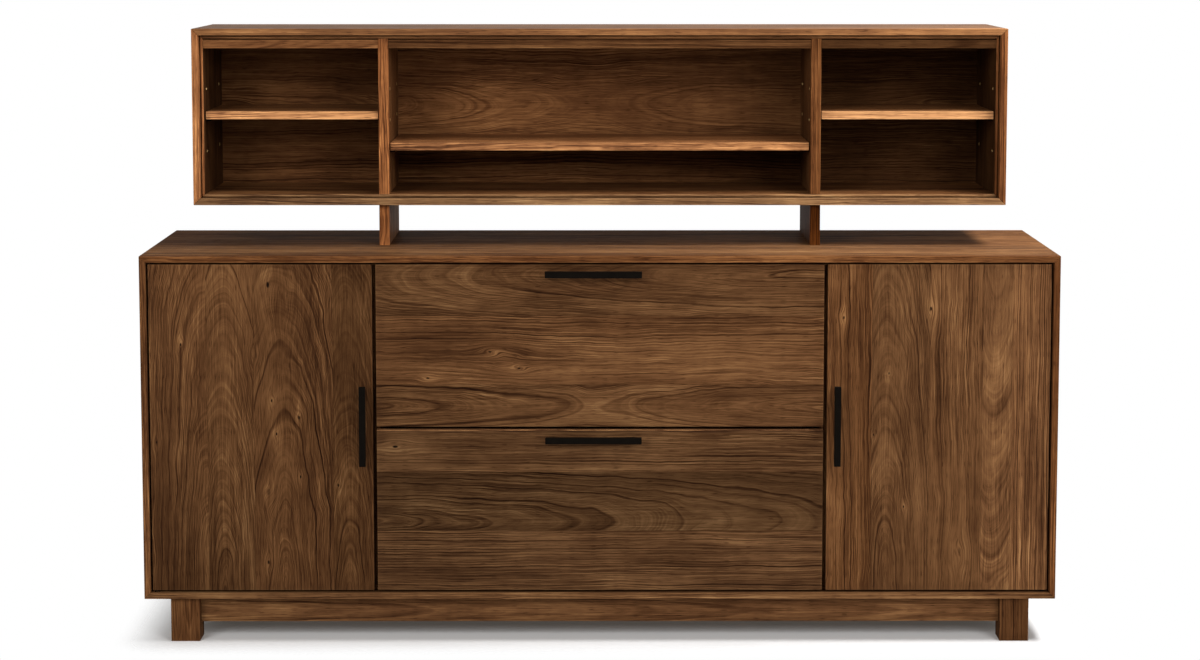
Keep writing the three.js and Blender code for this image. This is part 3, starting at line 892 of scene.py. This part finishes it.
def add_shelf_fittings(pin_metal, sleeve_metal, hollow):
    """Pins under each loose shelf, and brass sleeves in the holes that no pin uses."""
    side_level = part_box("left_hutch_shelf")[0].z - SHELF_PIN_RADIUS
    low_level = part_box("centre_hutch_shelf")[0].z - SHELF_PIN_RADIUS
    high_level = 2 * side_level - low_level
    cupboard_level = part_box("left_cupboard_shelf")[0].z - SHELF_PIN_RADIUS
    cupboard_spares = [cupboard_level + CUPBOARD_PIN_STEP * i for i in (-3, -2, -1, 2, 3, 4)]
    hutch_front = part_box("hutch_top")[0].y
    hutch_columns = (hutch_front + PIN_COLUMN_FRONT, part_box("hutch_back")[0].y - PIN_COLUMN_BACK)
    case_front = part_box("left_cupboard_shelf")[0].y
    case_columns = (case_front + PIN_COLUMN_BACK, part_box("case_back")[0].y - PIN_COLUMN_BACK)
    side_bay = (hutch_columns, side_level, [low_level, high_level])
    centre_bay = (hutch_columns, low_level, [side_level, high_level])
    cupboard = (case_columns, cupboard_level, cupboard_spares)
    bays = {
        "left_hutch": ("hutch_left_side", "left_divider", *side_bay),
        "centre_hutch": ("left_divider", "right_divider", *centre_bay),
        "right_hutch": ("right_divider", "hutch_right_side", *side_bay),
        "left_cupboard": ("case_left_side", "left_partition", *cupboard),
        "right_cupboard": ("right_partition", "case_right_side", *cupboard),
    }
    for word, (left_board, right_board, columns, level, spares) in bays.items():
        pins = bmesh.new()
        sleeves = bmesh.new()
        for x, direction in bay_faces(left_board, right_board):
            for y in columns:
                turned(pins, SHELF_PIN, (x, y, level), (direction, 0, 0))
                for spare in spares:
                    turned(sleeves, PIN_SLEEVE, (x, y, spare), (direction, 0, 0), dark_from=SLEEVE_HOLLOW_FROM)
        add_piece(f"{word}_shelf_pins", pins, [pin_metal], "carcass")
        add_piece(f"{word}_pin_sleeves", sleeves, [sleeve_metal, hollow], "carcass")


def add_pull_screws(metal, hollow):
    """The heads of the screws that hold each pull, on the inside of its door or drawer front."""
    fronts = {
        "left_door": "left_door",
        "right_door": "right_door",
        "lower_drawer": "lower_drawer_front",
        "upper_drawer": "upper_drawer_front",
    }
    for body, front in fronts.items():
        low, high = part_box(f"{body}_pull")
        middle = (low + high) / 2
        size = high - low
        lengthwise = Vector((1, 0, 0)) if size.x > size.z else Vector((0, 0, 1))
        reach = max(size.x, size.z) / 2 - PULL_POST_INSET
        mesh = bmesh.new()
        for end in (-1, 1):
            place = middle + lengthwise * reach * end
            place.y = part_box(front)[1].y
            turned(mesh, SCREW_HEAD, place, (0, 1, 0), dark_from=SCREW_SOCKET_FROM)
        add_piece(f"{body}_pull_screws", mesh, [metal, hollow], body)


def add_bumpers(rubber):
    """Soft dots on the partitions' front edges, where the doors and drawer fronts close on them."""
    door_low, door_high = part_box("right_door")
    drawer_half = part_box("upper_drawer_front")[1].x
    low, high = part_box("right_partition")
    door_x = (door_low.x + high.x) / 2
    drawer_x = (low.x + drawer_half) / 2
    heights = [(door_x, door_low.z + BUMPER_INSET), (door_x, door_high.z - BUMPER_INSET)]
    for front in ("lower_drawer_front", "upper_drawer_front"):
        bottom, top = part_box(front)
        heights += [(drawer_x, bottom.z + BUMPER_INSET), (drawer_x, top.z - BUMPER_INSET)]
    mesh = bmesh.new()
    for side in (-1, 1):
        for x, z in heights:
            turned(mesh, BUMPER, (side * x, low.y, z), (0, -1, 0))
    add_piece("partition_bumpers", mesh, [rubber], "carcass")


# The studio


def add_camera():
    data = bpy.data.cameras.new("camera")
    data.lens = CAMERA_LENS
    data.shift_y = CAMERA_SHIFT_UP
    camera = bpy.data.objects.new("camera", data)
    camera.location = CAMERA_PLACE
    camera.rotation_euler = (math.radians(90 - CAMERA_PITCH_DOWN), 0, math.radians(CAMERA_YAW))
    bpy.context.scene.collection.objects.link(camera)
    bpy.context.scene.camera = camera


def add_softbox(name, place, target, width, height, power, mirrored=True):
    """A rectangular lamp, turned to its target. One that isn't mirrored doesn't show in gloss."""
    data = bpy.data.lights.new(name, "AREA")
    data.shape = "RECTANGLE"
    data.size = width
    data.size_y = height
    data.energy = power
    lamp = bpy.data.objects.new(name, data)
    lamp.location = place
    lamp.rotation_mode = "QUATERNION"
    lamp.rotation_quaternion = (Vector(target) - Vector(place)).to_track_quat("-Z", "Y")
    lamp.visible_camera = False
    lamp.visible_glossy = mirrored
    bpy.context.scene.collection.objects.link(lamp)


def seen_directly(tree):
    """1 for rays from the camera and for those that metal or glass sends on, and 0 for plain light."""
    path = add_node(tree, "ShaderNodeLightPath")
    seen = [Wire(tree, path.outputs[f"Is {kind} Ray"]) for kind in ("Camera", "Glossy", "Transmission")]
    return most(most(seen[0], seen[1]), seen[2])


def light_world():
    """A white background that lights the object softly."""
    world = bpy.data.worlds.new("studio")
    world.use_nodes = True
    bpy.context.scene.world = world
    tree = world.node_tree
    background = tree.nodes["Background"]
    background.inputs["Color"].default_value = WHITE
    feed(tree, background.inputs["Strength"], seen_directly(tree) * (1.0 - AMBIENT) + AMBIENT)


def add_floor():
    """A pale floor that keeps the object's shadow and runs out into the white background."""
    mesh = bmesh.new()
    bmesh.ops.create_grid(mesh, x_segments=2, y_segments=2, size=FLOOR_HALF)
    data = bpy.data.meshes.new("floor")
    mesh.to_mesh(data)
    mesh.free()
    floor = bpy.data.objects.new("floor", data)
    bpy.context.scene.collection.objects.link(floor)
    material, tree, shader, place = new_material("floor")
    x, y, z = place
    tree.nodes.remove(shader)
    matte = add_node(tree, "ShaderNodeBsdfDiffuse")
    matte.inputs["Color"].default_value = (FLOOR_COLOUR, FLOOR_COLOUR, FLOOR_COLOUR, 1.0)
    glow = add_node(tree, "ShaderNodeEmission")
    glow.inputs["Color"].default_value = FLOOR_GLOW_COLOUR
    feed(tree, glow.inputs["Strength"], seen_directly(tree) * FLOOR_GLOW)
    lit = add_node(tree, "ShaderNodeAddShader")
    tree.links.new(matte.outputs[0], lit.inputs[0])
    tree.links.new(glow.outputs[0], lit.inputs[1])
    clear = add_node(tree, "ShaderNodeBsdfTransparent")
    faded = add_node(tree, "ShaderNodeMixShader")
    front_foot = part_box("right_front_leg")
    rear_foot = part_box("right_rear_leg")
    beyond_x = most(abs(x) - front_foot[1].x, 0.0)
    beyond_y = most(most(front_foot[0].y - y, y - rear_foot[1].y), 0.0)
    away = (beyond_x * beyond_x + beyond_y * beyond_y) ** 0.5
    feed(tree, faded.inputs[0], rise(away, *FLOOR_FADE) * seen_directly(tree))
    tree.links.new(lit.outputs[0], faded.inputs[1])
    tree.links.new(clear.outputs[0], faded.inputs[2])
    tree.links.new(faded.outputs[0], tree.nodes["Material Output"].inputs["Surface"])
    data.materials.append(material)


add_camera()
light_world()
add_floor()
for side, power in KEY_POWERS.items():
    add_softbox("key", (side * KEY_ASIDE, KEY_AHEAD, KEY_RISE), KEY_TARGET, KEY_SIZE, KEY_SIZE, power)
add_softbox("overhead", OVERHEAD_PLACE, OVERHEAD_TARGET, *OVERHEAD_SIZE, OVERHEAD_POWER)
add_softbox("rear", REAR_PLACE, REAR_TARGET, *REAR_SIZE, REAR_POWER, mirrored=False)

dress_walnut()
coating = black_coating()
steel = plated_steel()
for node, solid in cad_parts.items():
    if node.endswith("_pull"):
        finish(node, coating, PULL_EDGE)
    elif node.endswith("_pivot"):
        finish(node, coating, SHEET_EDGE)
    elif node.endswith("_drawer_box"):
        finish(node, pale_wood(node), WOOD_EDGE)
    elif node.endswith(("_slide", "_file_frame")):
        finish(node, steel, SHEET_EDGE)

hollow = dark_hollow()
add_shelf_fittings(coating, brass(), hollow)
add_pull_screws(steel, hollow)
add_bumpers(bumper_rubber())

bpy.context.scene.view_settings.view_transform = "Standard"
